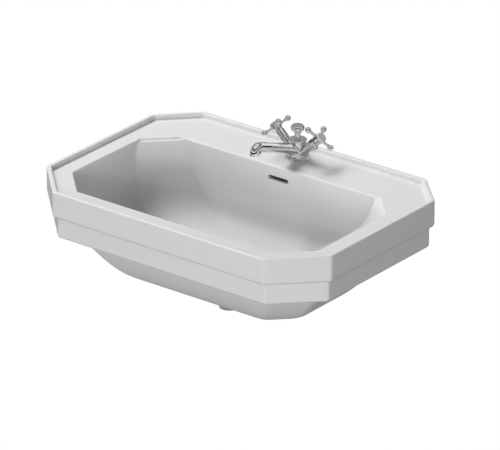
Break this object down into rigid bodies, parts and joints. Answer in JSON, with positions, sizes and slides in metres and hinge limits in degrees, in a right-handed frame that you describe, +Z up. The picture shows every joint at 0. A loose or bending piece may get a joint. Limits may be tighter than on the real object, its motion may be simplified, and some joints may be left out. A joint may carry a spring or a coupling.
{
  "type": "wall-hung washbasin",
  "caption": "Wall-hung octagonal washbasin with a raised rim, stepped skirt and dished underside, a single-hole mixer with cross handles, a lift knob and a pop-up waste.",
  "frame": {"origin": "middle of the two wall-bolt holes, on the wall plane", "axes": "+Z up, +X to the right seen from the front, +Y into the wall; the basin stands out towards -Y"},
  "size_m": [0.7, 0.495, 0.3332],
  "materials": {
    "glazed_ceramic": "white glaze, glossy",
    "chrome": "polished chrome on brass",
    "brass": "machined",
    "steel": "zinc-plated",
    "rubber": "moulded",
    "disc_ceramic": "lapped",
    "white_plastic": "moulded",
    "grey_plastic": "moulded"
  },
  "bodies": {
    "basin_body": {"basin": "glazed_ceramic", "base_flange": "chrome", "base_seal": "rubber", "mixer_body": "chrome", "top_cap": "chrome", "rod_guide": "white_plastic", "spout": "chrome", "aerator_seal": "rubber", "aerator_housing": "chrome", "aerator_insert": "grey_plastic", "mounting_stud": "steel", "rubber_washer": "rubber", "clamp_plate": "steel", "clamp_nut": "steel", "waste_flange": "chrome", "flange_seal": "rubber", "lower_gasket": "rubber", "slip_washer": "steel", "back_nut": "brass", "waste_body": "chrome", "body_seal": "rubber", "ball_seats": "white_plastic", "port_nut": "chrome", "hot_seat_seal": "rubber", "hot_fixed_disc": "disc_ceramic", "hot_cartridge": "chrome", "hot_valve_sleeve": "chrome", "cold_seat_seal": "rubber", "cold_fixed_disc": "disc_ceramic", "cold_cartridge": "chrome", "cold_valve_sleeve": "chrome"},
    "hot_handle": {"hot_handle": "chrome", "hot_index_cap": "chrome", "hot_handle_screw": "steel", "hot_spindle": "brass", "hot_spindle_seal": "rubber", "hot_moving_disc": "disc_ceramic"},
    "cold_handle": {"cold_handle": "chrome", "cold_index_cap": "chrome", "cold_handle_screw": "steel", "cold_spindle": "brass", "cold_spindle_seal": "rubber", "cold_moving_disc": "disc_ceramic"},
    "lift": {"lift_knob": "chrome", "lift_rod": "chrome", "lift_strap": "steel", "rod_clamp": "brass", "clamp_screw": "steel"},
    "ball_rod": {"ball_rod": "steel", "retaining_rings": "grey_plastic"},
    "plug": {"plug": "chrome", "plug_seal": "rubber", "plug_guide": "white_plastic", "plug_stem": "brass"}
  },
  "joints": [
    {"name": "hot_handle_turn", "type": "hinge", "parent": "basin_body", "child": "hot_handle", "pos_m": [-0.05339, -0.053, 0.11929], "axis": [-0.7314, 0, 0.682], "range_deg": [0, 90]},
    {"name": "cold_handle_turn", "type": "hinge", "parent": "basin_body", "child": "cold_handle", "pos_m": [0.05339, -0.053, 0.11929], "axis": [0.7314, 0, 0.682], "range_deg": [-90, 0]},
    {"name": "lift_rod_slide", "type": "slide", "parent": "basin_body", "child": "lift", "axis": [0, 0, 1], "range_m": [0, 0.04]},
    {"name": "ball_rod_tilt", "type": "hinge", "parent": "basin_body", "child": "ball_rod", "pos_m": [0, -0.238, -0.16], "axis": [1, 0, 0], "range_deg": [0, 12.4]},
    {"name": "plug_slide", "type": "slide", "parent": "basin_body", "child": "plug", "axis": [0, 0, -1], "range_m": [0, 0.00693]}
  ],
  "couplings": [
    {"joint": "ball_rod_tilt", "follows": "lift_rod_slide", "rad_per_m": 5.4054},
    {"joint": "plug_slide", "follows": "lift_rod_slide", "ratio": 0.17297}
  ]
}
